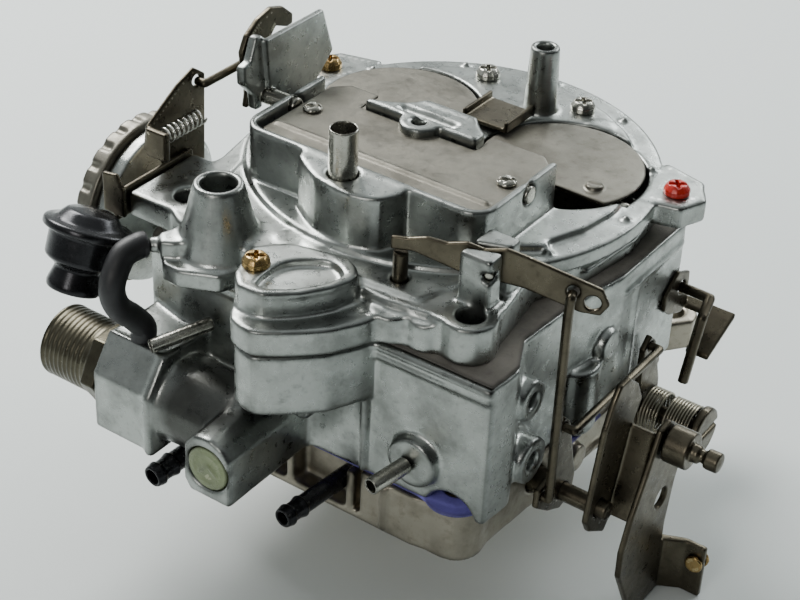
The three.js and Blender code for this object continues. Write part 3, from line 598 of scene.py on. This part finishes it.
def make_air_horn():
    """The top casting: choke housing, deck, vent cone, bosses, pads and edge beads."""
    horn = Field("air_horn", 0.6)
    horn.join(solid_round("z", 84, RING_TOP, RING_AT, 69.2))
    horn.join(rounded_frame(-47, 45, -28.5, 22.5, 8, DECK, RIM), 1.5)
    for side in (-1, 1):
        horn.join(solid_round("z", HORN_FOOT, 87, (side * BOLT_X, BOLT_FRONT), 8.5), 1.0)
    horn.join(solid_round("z", 80, 104, CONE, 13.6, 7.4), 2.5)
    horn.join(solid_torus("z", 103.4, CONE, 6.5, 0.8), 0.5)
    horn.join(solid_round("z", 90, 116, REAR_BOSS, 5.7, 4.7), 1.5)
    for at in DECK_PADS:
        horn.join(solid_round("z", 87.5, 88.5, at, 4.4))
    for x, y, level in EDGE_PADS:
        horn.join(solid_round("z", level - 0.5, level + 0.5, (x, y), 4.6))
    for height in (76.2, 79.4):
        edge = [(-45, -60, height), (-30, -60.4, height), (-12, -60, height)]
        front = [(13, -54.4, height), (30, -55.4, height), (44, -53.6, height)]
        horn.join(solid_wire(edge, 1.5), 0.8)
        horn.join(solid_wire(front, 1.5), 0.8)
    for degrees in range(-60, 241, 30):
        angle = math.radians(degrees)
        x, y = RING_AT[0] + 65.4 * math.cos(angle), RING_AT[1] + 65.4 * math.sin(angle)
        if y > -10:
            horn.join(solid_round("z", RING_TOP - 0.5, RING_TOP + 1.5, (x, y), 1.7, 1.3), 0.4)
    horn.join(solid_outline(HORN_FOOT, 83, NOSE_FOOT), 1.0)
    horn.join(solid_outline(82, 91.8, NOSE_TOP), 1.0)
    horn.join(solid_outline(HORN_FOOT, RIM, VENT_BOSS), 1.5)
    for x, y, r in ((31, -53, 6.6), (42, -51, 5.4)):
        horn.join(solid_round("z", 74.6, 84, (x, y), r), 2.5)
    for x, y in ((-26, -61), (20, -60)):
        horn.join(solid_round("z", 74.6, 82.5, (x, y), 3.2), 2)
    for side in (-1, 1):
        horn.join(solid_wire([(side * 64, 4, 81), (side * 66.4, 30, 81), (side * 62, 60, 81)], 1.2), 1)
        horn.join(solid_wire([(side * 46, 76, 81), (side * 10, 76.6, 81)], 1.2), 1)
    horn.cut(solid_outline(89.6, 100, NOSE_POCKET), 0.3)
    nose = [(-9, -76), (-4, -81), (4, -80.5), (12, -73.6), (17.4, -65), (19, -57)]
    horn.join(solid_wire([(x, y, 91.2) for x, y in nose], 1.1), 0.5)
    horn.join(solid_round("z", 88.6, 97, BAR_BOSS, 5.6), 1.5)
    horn.cut(rounded_frame(*CHOKE_OPENING, 60, 130))
    horn.join(solid_box((-26, 10, 101.5), (17, 21.5, RIM)), 0.6)
    horn.join(solid_round("z", 101.5, RIM, (-4, 10), 7), 0.8)
    horn.cut(solid_wire([(-13, 14, 108), (-2, 14, 108), (6, 14, 108)], 1.7))
    horn.cut(solid_round("z", 99, 112, (-4, 9.5), 2.6))
    for side in (-1, 1):
        x, y, r = BORE_SECONDARY
        horn.cut(solid_round("z", 60, 130, (side * x, y), r))
    horn.cut_bolts(60, 100)
    horn.cut(solid_round("z", 88, 110, CONE, 5.7))
    horn.cut(solid_round("z", 96, 120, REAR_BOSS, 3))
    horn.cut(solid_round("z", 78, 120, VENT_TUBE, 4.9))
    horn.cut(solid_round("x", 69, 90, (58, 86), 2.6))
    horn.cut(solid_round("x", -70, 70, CHOKE, 3.3))
    horn.make("air_horn_casting", "casting", 0.55)


def make_float_bowl():
    """The middle casting: inlet barrel, nose, ports, wall ribs and beads."""
    bowl = Field("float_bowl", 0.8)
    bowl.join(solid_round("x", -36, -6, INLET, 14.5, 13.2), 2)
    bowl.join(solid_round("x", -9, -1, INLET, 13.2, 7), 2)
    bowl.join(solid_outline(52, 73, BOWL_NOSE), 1.2)
    for y in (-20, 6, 32, 56):
        edge = -68 if y > -30 else -66
        bowl.join(solid_wire([(edge + 1.2, y, 25), (edge + 1.2, y, 69)], 1.9), 1.5)
    for x in (-40, -14, 14, 40):
        bowl.join(solid_wire([(x, 77, 25), (x, 77, 70)], 1.7), 1.5)
    bead = [(-66.8, -36, 70.6), (-66.8, 60, 70.6), (-46, 76.8, 70.6), (46, 76.8, 70.6)]
    bowl.join(solid_wire(bead, 1.5), 1)
    bowl.join(solid_round("x", -69.6, -60, (18, 46), 7.5), 2)
    bowl.cut(solid_round("x", -74, -66, (18, 46), 3))
    bowl.join(solid_round("y", 70, 79.4, (0, 48), 8), 2)
    bowl.cut(solid_round("y", 76, 84, (0, 48), 3.2))
    bowl.join(solid_wire([(70, 22, 66), (69.6, 60, 66)], 1.4), 1)
    bowl.join(solid_wire([(69.6, 30, 25), (69.6, 30, 66)], 1.3), 1.5)
    bowl.join(solid_round("x", 64, 71.4, (14, 50), 5.5), 1.5)
    bowl.cut(solid_round("y", -62, -50, (58, 19), 9), 1)
    bowl.join(solid_round("z", 21.5, 46, (62, 5), 9.7), 1.5)
    bowl.join(solid_round("x", 60, 72, UPPER_PORT, 6.7), 1.5)
    bowl.join(solid_round("x", 60, 72, LOWER_PORT, 7.7), 1.5)
    bowl.join(solid_round("y", -67, -56, (7, 44), 4.7), 1)
    bowl.join(solid_round("y", -60.5, -54, (45, 36), 8.6), 1)
    for height in (68.4, 71.6):
        bowl.join(solid_wire([(-45, -60, height), (-10, -60, height)], 1.3), 0.8)
        bowl.join(solid_wire([(28, -57.6, height), (46, -57.4, height), (69, -57.2, height)], 1.3), 0.8)
    bowl.join(solid_wire([(-59, -79, 50), (-38, -79, 50)], 0.9), 0.6)
    for x in (-20, 26):
        bowl.join(solid_wire([(x, -58.4, 24), (x, -58.4, 66)], 1.5), 1.2)
    for y in (-52, -46):
        bowl.join(solid_wire([(69, y + 3, 26), (69, y + 3, 70)], 1.1), 1)
    bowl.cut_bores(-5, 90)
    bowl.cut_bolts(-5, 90)
    bowl.cut(solid_round("x", -65, -20, INLET, 8.6))
    bowl.cut(solid_round("x", 66, 80, UPPER_PORT, 2.8))
    bowl.cut(solid_round("x", 67, 80, LOWER_PORT, 3.2))
    bowl.cut(solid_round("y", -99, -94.6, PLUG, 7.8))
    bowl.make("float_bowl_casting", "casting", 0.6)


def make_gaskets():
    """The horn's gasket reaches the bowl's edges, and the violet one shows round the bowl's bosses."""
    upper = Field("airhorn_gasket", 0.5)
    upper.join(solid_outline(73.05, 74.35, BOWL_TOP, 1))
    upper.cut_bores(60, 90, 0.6)
    for x in (-5, 5):
        upper.cut(solid_round("z", 60, 90, (x, 57), 2.2))
    upper.cut(rounded_frame(*CHOKE_OPENING, 60, 90))
    upper.cut(solid_box((-36, -56, 60), (14, -36, 90)))
    upper.cut(solid_round("z", 60, 90, (27, -44), 3.6))
    upper.cut_bolts(60, 90)
    upper.make("airhorn_gasket_sheet", "gasket", 0.25)
    lower = Field("body_gasket", 0.5)
    lower.join(solid_round("z", 20.1, 21.4, (63, 5), 12.4), 1.5)
    lower.join(solid_round("z", 20.1, 21.4, (55, -48.6), 10.2), 1.5)
    lower.cut_bolts(10, 30)
    lower.make("body_gasket_sheet", "seal", 0.25)


def make_small_extras():
    """The sealant in the plug boss, and the rivet through the throttle lever's bottom tab."""
    disc = Field.empty((-15, -99, 22), (5, -90, 42), 0.3)
    disc.join(solid_round("y", -96.6, -93.8, PLUG, 7.7, 7.2))
    disc.join(solid_torus("y", -96, PLUG, 5.4, 0.7), 0.6)
    disc.join(solid_wire([(-8, -96.2, 30), (-4.5, -96.3, 33.5), (-1.5, -96.2, 31)], 0.8), 0.6)
    disc.make("plug_sealant", "olive", 0.3, "sealant", "carburetor_body")
    rivet = Field.empty((104, 14, -28), (118, 26, -10), 0.25)
    rivet_at = (110, -24)
    rivet.join(solid_round("y", 20.3, 21.6, rivet_at, 3.6))
    rivet.join(solid_round("y", 21.4, 23, rivet_at, 2.3), 0.3)
    rivet.join(solid_round("y", 16, 17.4, rivet_at, 3.2))
    rivet.make("lever_rivet", "brass", 0.25, "brass", "primary_throttle")


def make_inner_parts():
    """Throttle plates, and what is hidden in the bowl."""
    for side, label in ((-1, "left"), (1, "right")):
        for kind, (x, y, r) in (("primary", BORE_PRIMARY), ("secondary", BORE_SECONDARY)):
            plate = Field(f"{kind}_plate_{label}", 0.3)
            plate.join(solid_round("z", THROTTLE_Z - 0.5, THROTTLE_Z + 0.5, (side * x, y), r - PLATE_GAP))
            for step in (-7, 7):
                screw_at = (side * x + step, y + 9)
                plate.join(solid_round("z", THROTTLE_Z - 1.2, THROTTLE_Z + 0.9, screw_at, 1.8), 0.2)
            plate.make(f"{kind}_plate_{label}_disc", "brass", 0.22)
    for node, slot, voxel in (("fuel_float", "float", 0.5), ("inlet_needle", "steel", 0.2),
                              ("power_piston", "brass", 0.25), ("fuel_filter", "gasket", 0.4),
                              ("float_pin", "steel", 0.25), ("air_valve_shaft", "steel", 0.3),
                              ("choke_coil", "brass", 0.4)):
        soften_node(node, slot, voxel, voxel)
    spring = make_spring("pump_spring", "steel", "z", 0.7, 0.7, 0.6, 7)
    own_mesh(spring)


def make_throttle_body():
    """The base casting, with its front ribs, shaft bosses and edge beads."""
    body = Field("throttle_body", 0.7)
    for x in (-40, 34):
        body.join(solid_wire([(x, -57, 3), (x, -57, 18)], 1.8), 1)
    body.join(solid_round("x", 60, 69.5, (4, 9), 5), 1.5)
    body.join(solid_round("x", -69.5, -60, (10, 9), 5), 1.5)
    for height in (4, 16.5):
        body.join(solid_wire([(66, -8, height), (67, 20, height), (67, 60, height)], 1.2), 0.8)
    for side in (-1, 1):
        body.join(solid_round("z", 0, 20, (side * BOLT_X, BOLT_FRONT), 9.6), 1.2)
    body.cut_bores(-5, 30)
    for y in (BORE_PRIMARY[1], BORE_SECONDARY[1]):
        body.cut(solid_round("x", -90, 90, (y, THROTTLE_Z), 5))
    body.cut_bolts(-5, 60)
    body.make("throttle_body_casting", "base", 0.55)


def place_piece(piece, slot, *nodes, body=None):
    """The piece stands for these nodes and rides on their body, or on the named one."""
    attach(piece, body or BODY_OF[nodes[0]])
    if nodes:
        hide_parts(*nodes)
    return piece


def soften_node(node, slot, voxel, sigma, material=None):
    return Field(node, voxel).make(node + "_finished", slot, sigma, material)


# ---------------------------------------------------------------- turned and wound pieces
def smooth_route(points, steps):
    """A Catmull-Rom curve through the points."""
    points = [np.array(p, float) for p in points]
    route = []
    ends = [2 * points[0] - points[1]] + points + [2 * points[-1] - points[-2]]
    for i in range(len(points) - 1):
        a, b, c, d = ends[i:i + 4]
        for step in range(steps):
            route.append(catmull_rom(a, b, c, d, step / steps))
    route.append(points[-1])
    return route


def ring_faces(rings, sides):
    """Quads between each ring of points and the next."""
    faces = []
    for here in range(0, (rings - 1) * sides, sides):
        above = here + sides
        for k in range(sides):
            n = (k + 1) % sides
            faces.append((here + k, here + n, above + n, above + k))
    return np.array(faces)


def tube_mesh(route, radius, sides):
    """Points and quads of a closed round tube along a route, with domed ends."""
    route = np.array(route)
    line = np.gradient(route, axis=0)
    line /= np.linalg.norm(line, axis=1)[:, None]
    side = np.cross(line[0], (0.31, 0.22, 0.93))
    rings = []
    for i, place in enumerate(route):
        side = side - line[i] * (side @ line[i])
        side /= np.linalg.norm(side)
        other = np.cross(line[i], side)
        turn = np.arange(sides) * 2 * math.pi / sides
        rings.append((place, np.cos(turn)[:, None] * side + np.sin(turn)[:, None] * other))
    loops = [place + radius * spread for place, spread in rings]
    for end, sign in ((0, -1), (-1, 1)):
        place, spread = rings[end]
        dome = [place + sign * line[end] * radius * 0.12 + spread * radius * 0.86,
                place + sign * line[end] * radius * 0.14 + spread * radius * 0.02]
        loops = dome[::-1] + loops if end == 0 else loops + dome
    return np.vstack(loops), ring_faces(len(loops), sides)


def close_ends(piece):
    """Fills the pin holes at the middle of a tube's ends."""
    shape = bmesh.new()
    shape.from_mesh(piece.data)
    bmesh.ops.holes_fill(shape, edges=[edge for edge in shape.edges if edge.is_boundary], sides=0)
    bmesh.ops.recalc_face_normals(shape, faces=shape.faces)
    for face in shape.faces:
        face.smooth = True
    shape.to_mesh(piece.data)
    shape.free()


def make_tube(name, route, radius, sides, slot, *nodes):
    """A round tube along a route, in place of its CAD nodes."""
    points, faces = tube_mesh(route, radius, sides)
    piece = mesh_piece(name, points, faces, slot)
    close_ends(piece)
    return place_piece(piece, slot, *nodes)


def helix(axis, a, b, at, radius, turns, steps=28):
    along, first, second = AXES[axis]
    route = []
    for i in range(turns * steps + 1):
        point = [0, 0, 0]
        angle = 2 * math.pi * i / steps
        point[along] = a + (b - a) * i / (turns * steps)
        point[first] = at[0] + radius * math.cos(angle)
        point[second] = at[1] + radius * math.sin(angle)
        route.append(point)
    return route


def make_spring(node, slot, axis, inset, depth, wire, turns):
    """A wound spring in place of a CAD node's sleeve: its coil runs depth inside the sleeve's round face."""
    low, high = corners(node)
    along, first, second = AXES[axis]
    middle = centre(node)
    radius = (high[first] - low[first]) / 2 - depth
    route = helix(axis, low[along] + inset, high[along] - inset, (middle[first], middle[second]), radius,
                  turns)
    return make_tube(node + "_wound", route, wire, 8, slot, node)


def make_screw(node, slot, cross):
    """A domed head with a slot or a cross recess, on a thin washer."""
    low, high = corners(node)
    at = centre(node)[:2]
    foot, top = low[2], high[2]
    radius, tall = (high[0] - low[0]) / 2, top - foot
    screw = Field(node, 0.2)
    screw.join(solid_round("z", foot, foot + tall * 0.2, at, radius))
    screw.join(solid_round("z", foot, foot + tall * 0.8, at, radius * 0.93, radius * 0.8), 0.2)
    groove = 0.55
    reach = radius * (0.55 if cross else 1.2)
    depth = tall * 0.5
    turn = math.radians(35)
    for angle in ((turn, turn + math.pi / 2) if cross else (turn,)):
        dx, dy = reach * math.cos(angle), reach * math.sin(angle)
        for step in range(5):
            height = top - depth + step * depth / 4 + groove / 2
            line = [(at[0] - dx, at[1] - dy, height), (at[0] + dx, at[1] + dy, height)]
            screw.cut(solid_wire(line, groove))
    screw.make(node + "_head", slot, 0.22)


def make_spout(node, slot, start, end, outer, inner, barb):
    """An open pipe from start to end, with two barbs for a hose where it has them."""
    spout = Field(node, 0.25)
    start, end = np.array(start, float), np.array(end, float)
    spout.join(solid_bar(start, end, outer))
    if barb:
        for low, high in ((0.72, 0.8), (0.9, 1.0)):
            spout.join(solid_bar(start + (end - start) * low, start + (end - start) * high, outer + 0.75,
                                 outer), 0.2)
    spout.cut(solid_bar(start + (end - start) * 0.16, end + (end - start) * 0.2, inner))
    spout.make(node + "_pipe", slot, 0.28)


# ---------------------------------------------------------------- choke and air valve
def make_choke():
    """Choke plate, shaft, linkage and coil housing, and the two air valve plates."""
    plate = Field("choke_plate", 0.35)
    plate.join(solid_wire([(-41, -16.5, 105), (39, -16.5, 105)], 1.1), 0.8)
    plate.make("choke_plate_stamped", "plate", 0.3)
    make_screw("choke_screw_left", "steel", False)
    make_screw("choke_screw_right", "steel", False)
    shaft = Field("choke_shaft", 0.35)
    shaft.join(solid_round("x", -65, -44.6, CHOKE, 3))
    shaft.join(solid_round("x", 43.6, 46, CHOKE, 3))
    shaft.make("choke_shaft_turned", "steel", 0.3)
    cover = Field("choke_cover", 0.5)
    cover.join(solid_round("x", -97, -90.3, COIL_AXIS, 30))
    cover.join(solid_round("x", -100.8, -97, COIL_AXIS, 22.4, 25.4), 1.5)
    for i in range(24):
        angle = 2 * math.pi * i / 24
        notch = (COIL_AXIS[0] + 30.2 * math.cos(angle), COIL_AXIS[1] + 30.2 * math.sin(angle))
        cover.cut(solid_round("x", -97.5, -92.5, notch, 1.5), 0.4)
    cover.join(solid_torus("x", -97, COIL_AXIS, 27.6, 0.7), 0.4)
    cover.join(solid_torus("x", -100.4, COIL_AXIS, 12, 0.6), 0.4)
    cover.make("choke_cover_pressed", "zinc", 0.45, "plate")
    housing = Field("choke_housing", 0.5)
    housing.join(solid_round("x", -84.8, -77, COIL_AXIS, 27.5, 14.2))
    housing.join(solid_round("x", -90, -85, COIL_AXIS, 27.6), 0.8)
    housing.cut(solid_round("x", -95, -86, COIL_AXIS, 23))
    housing.make("choke_housing_cast", "casting", 0.45)
    for node in ("choke_lever", "choke_rod", "choke_arm", "side_bracket"):
        soften_node(node, "zinc", 0.3, 0.3)
    soften_node("link_stand", "casting", 0.45, 0.4)
    make_spring("choke_arm_spring", "steel", "y", 0.4, 0.5, 0.42, 8)
    for side, label in ((-1, "left"), (1, "right")):
        valve = Field("air_valve_" + label, 0.4)
        valve.join(solid_round("z", 90.8, DECK, (side * BORE_SECONDARY[0], BORE_SECONDARY[1]), 27.6))
        valve.cut(solid_box((-80, 0, 80), (80, 26.5, 100)))
        for x in (19, 49):
            valve.join(solid_round("z", DECK, 93.4, (side * x, 33), 3.2, 2.8), 0.2)
            valve.cut(solid_wire([(side * x - 4, 31.6, 93.4), (side * x + 4, 34.4, 93.4)], 0.5))
        valve.make(f"air_valve_{label}_stamped", "plate", 0.3)
    soften_node("metering_hanger", "zinc", 0.3, 0.3)


# ---------------------------------------------------------------- fuel inlet, vacuum can and tubes
# The can's place, its tilt in degrees and its profile of radius and height, and the hose's route.
CAN_AT = (-70.2, -75, 82.4)
CAN_TILT = -25.0
CAN_PROFILE = [(0, -17), (6.4, -17), (6.8, -20.6), (8.6, -20.6), (9, -18.6), (7.4, -13), (11.6, -10.4),
               (12, -1.6), (14.6, -1.2), (14.6, 1.4), (11, 2), (8, 5.5), (0, 6.5)]
HOSE = [(-49, -72.4, 83.6), (-50, -74.2, 83.6), (-51.4, -79.8, 82.2), (-51, -85, 76.6), (-51, -85.8, 71),
        (-50.6, -83.6, 65), (-49.6, -79, 59.8), (-48.6, -75.4, 54.6), (-48.6, -75.4, 50.3)]


# Each pipe's node, finish, start, end, outer and inner radius, and whether it has barbs.
SPOUTS = [
    ("front_tube", "black", (15.2, -50.3, 11), (12.2, -81.4, 11), 3.2, 2.2, True),
    ("lower_left_tube", "black", (-30.9, -58, 12), (-34, -90, 9.8), 3.6, 2.6, True),
    ("vacuum_tube", "steel", (43.9, -61.2, 35.6), (41.3, -76, 35.2), 2.8, 2.0, False),
    ("inlet_side_tube", "steel", (-31.5, -62, 55.9), (-41, -81, 53), 2.4, 1.8, False),
    ("bowl_vent_tube", "steel", (*VENT_TUBE, 79), (*VENT_TUBE, 124), 4.6, 3.9, False),
]
HORN_SCREWS = {"front": "brass", "side": "red", "left": "brass", "rear_left": "steel", "rear_right": "steel"}


def round_corners(profile, cut):
    """Each inner corner of a profile becomes a short curve."""
    rounded = [np.array(profile[0], float)]
    for before, corner, after in zip(profile, profile[1:], profile[2:]):
        before, corner, after = (np.array(p, float) for p in (before, corner, after))
        one = corner + (before - corner) * min(0.45, cut / np.linalg.norm(before - corner))
        two = corner + (after - corner) * min(0.45, cut / np.linalg.norm(after - corner))
        for t in np.linspace(0, 1, 6):
            rounded.append((1 - t) ** 2 * one + 2 * t * (1 - t) * corner + t ** 2 * two)
    rounded.append(np.array(profile[-1], float))
    return rounded


def make_vacuum_can():
    """The can is a profile of radius and height, turned about its tilted axis."""
    profile = round_corners(CAN_PROFILE, 1.1)
    profile[0][0] = profile[-1][0] = 0.02
    sides = 96
    tilt = math.radians(CAN_TILT)
    points = []
    for radius, height in profile:
        for k in range(sides):
            turn = 2 * math.pi * k / sides
            x, y = radius * math.cos(turn), radius * math.sin(turn)
            points.append((CAN_AT[0] + x, CAN_AT[1] + y * math.cos(tilt) - height * math.sin(tilt),
                           CAN_AT[2] + y * math.sin(tilt) + height * math.cos(tilt)))
    piece = mesh_piece("vacuum_can_pressed", points, ring_faces(len(profile), sides), "black")
    close_ends(piece)
    place_piece(piece, "black", "vacuum_can")


def make_inlet_side():
    """The inlet nut with its thread rings, the vacuum can and hose, the pipes and the horn's screws."""
    nut = Field("inlet_nut", 0.4)
    nut.join(solid_round("x", -86, -65.9, INLET, 12.6))
    for i in range(9):
        nut.cut(solid_torus("x", -84 + 1.9 * i, INLET, 12.9, 0.75), 0.2)
    nut.cut(solid_round("x", -90, -48, INLET, 6.3))
    nut.cut(solid_round("x", -87, -84.5, INLET, 8.6, 6.3))
    nut.make("inlet_nut_threaded", "olive", 0.3)
    make_vacuum_can()
    make_tube("vacuum_hose_moulded", smooth_route(HOSE, 12), 4.2, 32, "rubber", "vacuum_hose")
    for spout in SPOUTS:
        make_spout(*spout)
    for label, slot in HORN_SCREWS.items():
        make_screw("horn_screw_" + label, slot, True)


# ---------------------------------------------------------------- pump and throttle linkage
def make_linkage():
    """Levers, rods, shafts and springs on the throttle side."""
    for node in ("pump_lever", "pump_rod", "pump_arm", "secondary_lever", "secondary_link", "anchor_rod",
                 "anchor_bracket"):
        soften_node(node, "zinc", 0.3, 0.3)
    soften_node("throttle_lever", "zinc", 0.38, 0.35)
    soften_node("pump_lever_pin", "steel", 0.25, 0.25)
    plunger = Field("pump_plunger", 0.4)
    plunger.join(solid_round("z", 46, 97.4, (27, -44), 2.4))
    plunger.make("pump_plunger_turned", "brass", 0.3, "zinc")
    stud = Field("throttle_stud", 0.3)
    for a, b, r in ((99.7, 108, 6.4), (108, 110.5, 3.1), (113, 117.6, 3.4)):
        stud.join(solid_round("x", a, b, STUD, r))
    stud.make("throttle_stud_turned", "zinc", 0.3)
    for node, y, ends in (("primary_shaft", BORE_PRIMARY[1], (-72, 72, 92)),
                          ("secondary_shaft", BORE_SECONDARY[1], (-70, 71, 96))):
        shaft = Field(node, 0.5)
        shaft.join(solid_round("x", ends[0], ends[0] + 6, (y, THROTTLE_Z), 4.7))
        shaft.join(solid_round("x", ends[1] - 6, ends[1], (y, THROTTLE_Z), 4.7))
        shaft.join(solid_round("x", ends[1], ends[2], (y, THROTTLE_Z), 3.2))
        if node == "secondary_shaft":
            shaft.join(solid_round("x", 94.3, 97.4, (y, THROTTLE_Z), 9), 0.3)
            shaft.cut(solid_box((96.2, 25, 9.9), (98, 60, 12.1)))
        shaft.make(node + "_turned", "steel", 0.4, "zinc")
    for node, turns in (("secondary_spring_inner", 6), ("secondary_spring_outer", 9)):
        make_spring(node, "zinc", "x", 0.4, 0.55, 0.52, turns)


make_camera()
make_studio()
make_air_horn()
make_float_bowl()
make_throttle_body()
make_small_extras()
make_inner_parts()
make_choke()
make_inlet_side()
make_linkage()
make_gaskets()
